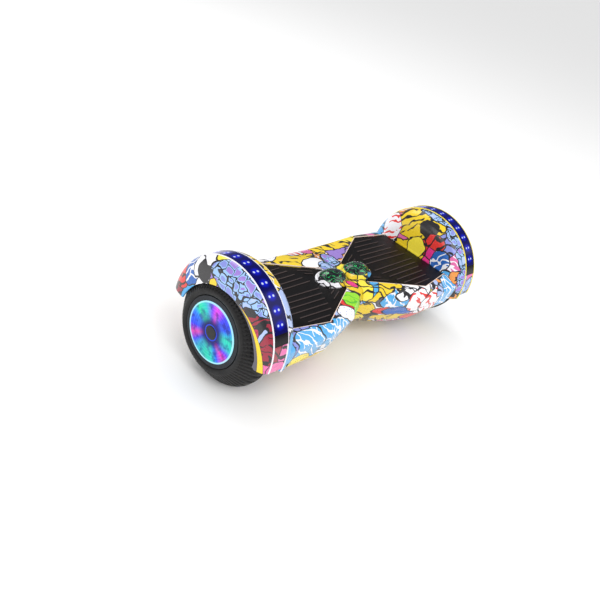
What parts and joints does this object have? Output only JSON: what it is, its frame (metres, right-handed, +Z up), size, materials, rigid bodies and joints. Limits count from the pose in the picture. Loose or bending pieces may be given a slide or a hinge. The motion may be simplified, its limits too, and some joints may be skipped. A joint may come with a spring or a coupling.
{
  "type": "self balancing hoverboard",
  "caption": "Two-wheel self balancing board: two halves twist on a centre pivot, each with a sprung foot pad, a lit arch fender and a hub-motor wheel.",
  "frame": {"origin": "on the ground, under the middle of the board", "axes": "+X along the wheel axis from the left half to the right half, -Y is the front, +Z is up"},
  "size_m": [0.652, 0.242, 0.2302],
  "materials": {
    "printed_shell": "glossy film-printed ABS with a many-coloured abstract street-art pattern",
    "cast_aluminium": "as cast, slightly rough",
    "pad_rubber": "matt moulded rubber with raised slanted ribs",
    "black_plastic": "satin black moulded plastic",
    "circuit_board": "green solder mask",
    "steel": "ground steel",
    "zinc_steel": "zinc plated",
    "motor_iron": "laminated iron with copper windings",
    "tyre": "black tread rubber with fine radial ribs on the shoulders",
    "rim_metal": "dark grey painted aluminium",
    "magnet_steel": "nickel plated magnets",
    "light_board": "white solder mask with surface mounted lights",
    "wheel_light": "clear lens lit from behind in cyan, blue and magenta",
    "strip_lens": "dark blue smoked lens, lit from behind",
    "indicator_lens": "dark smoked lens",
    "bronze": "sintered bronze",
    "battery_wrap": null,
    "cable_sleeve": "woven black sleeve",
    "port_metal": "nickel plated",
    "cap_rubber": "soft black rubber",
    "button_metal": "bright metal with a ring of light"
  },
  "bodies": {
    "left_half": {"left_top_shell": "printed_shell", "left_bottom_shell": "printed_shell", "left_frame": "cast_aluminium", "left_sensor_board": "circuit_board", "left_axle": "steel", "left_axle_clamp": "cast_aluminium", "left_clamp_bolts": "zinc_steel", "left_stator": "motor_iron", "left_strip_board": "light_board", "left_strip_lens": "strip_lens", "left_indicator_lens": "indicator_lens", "left_indicator_board": "circuit_board", "left_shell_screws": "zinc_steel", "pivot_tube": "steel", "pivot_circlip": "zinc_steel", "twist_pin": "steel", "control_board": "circuit_board", "heat_spreader": "cast_aluminium", "wiring_loom": "cable_sleeve"},
    "right_half": {"right_top_shell": "printed_shell", "right_bottom_shell": "printed_shell", "right_frame": "cast_aluminium", "right_sensor_board": "circuit_board", "right_axle": "steel", "right_axle_clamp": "cast_aluminium", "right_clamp_bolts": "zinc_steel", "right_stator": "motor_iron", "right_strip_board": "light_board", "right_strip_lens": "strip_lens", "right_indicator_lens": "indicator_lens", "right_indicator_board": "circuit_board", "right_shell_screws": "zinc_steel", "pivot_bush": "bronze", "battery_pack": "battery_wrap", "battery_bracket": "cast_aluminium", "charge_port": "port_metal", "button_bezel": "black_plastic"},
    "left_wheel": {"left_tyre": "tyre", "left_rim": "rim_metal", "left_motor_cover": "rim_metal", "left_magnets": "magnet_steel", "left_wheel_bearings": "steel", "left_wheel_light_board": "light_board", "left_wheel_light_cover": "wheel_light", "left_hub_cap": "black_plastic"},
    "right_wheel": {"right_tyre": "tyre", "right_rim": "rim_metal", "right_motor_cover": "rim_metal", "right_magnets": "magnet_steel", "right_wheel_bearings": "steel", "right_wheel_light_board": "light_board", "right_wheel_light_cover": "wheel_light", "right_hub_cap": "black_plastic"},
    "left_pad": {"left_foot_pad": "pad_rubber", "left_pad_tray": "black_plastic"},
    "right_pad": {"right_foot_pad": "pad_rubber", "right_pad_tray": "black_plastic"},
    "charge_cap": {"charge_port_cap": "cap_rubber"},
    "power_button": {"power_button": "button_metal"}
  },
  "joints": [
    {"name": "body_twist", "type": "hinge", "parent": "left_half", "child": "right_half", "pos_m": [0, 0, 0.1015], "axis": [1, 0, 0], "range_deg": [-12, 12]},
    {"name": "left_wheel_spin", "type": "hinge", "parent": "left_half", "child": "left_wheel", "pos_m": [-0.29, 0, 0.1015], "axis": [1, 0, 0], "continuous": true},
    {"name": "right_wheel_spin", "type": "hinge", "parent": "right_half", "child": "right_wheel", "pos_m": [0.29, 0, 0.1015], "axis": [1, 0, 0], "continuous": true},
    {"name": "left_pad_press", "type": "slide", "parent": "left_half", "child": "left_pad", "axis": [0, 0, -1], "range_m": [0, 0.0015], "stiffness_N_per_m": 6000, "springref_m": -0.001},
    {"name": "right_pad_press", "type": "slide", "parent": "right_half", "child": "right_pad", "axis": [0, 0, -1], "range_m": [0, 0.0015], "stiffness_N_per_m": 6000, "springref_m": -0.001},
    {"name": "charge_cap_swing", "type": "hinge", "parent": "right_half", "child": "charge_cap", "pos_m": [0.217, 0.03, 0.041], "axis": [0, -1, 0], "range_deg": [0, 100]},
    {"name": "power_button_press", "type": "slide", "parent": "right_half", "child": "power_button", "axis": [0, 0, 1], "range_m": [0, 0.0012], "stiffness_N_per_m": 800, "springref_m": -0.0005}
  ]
}
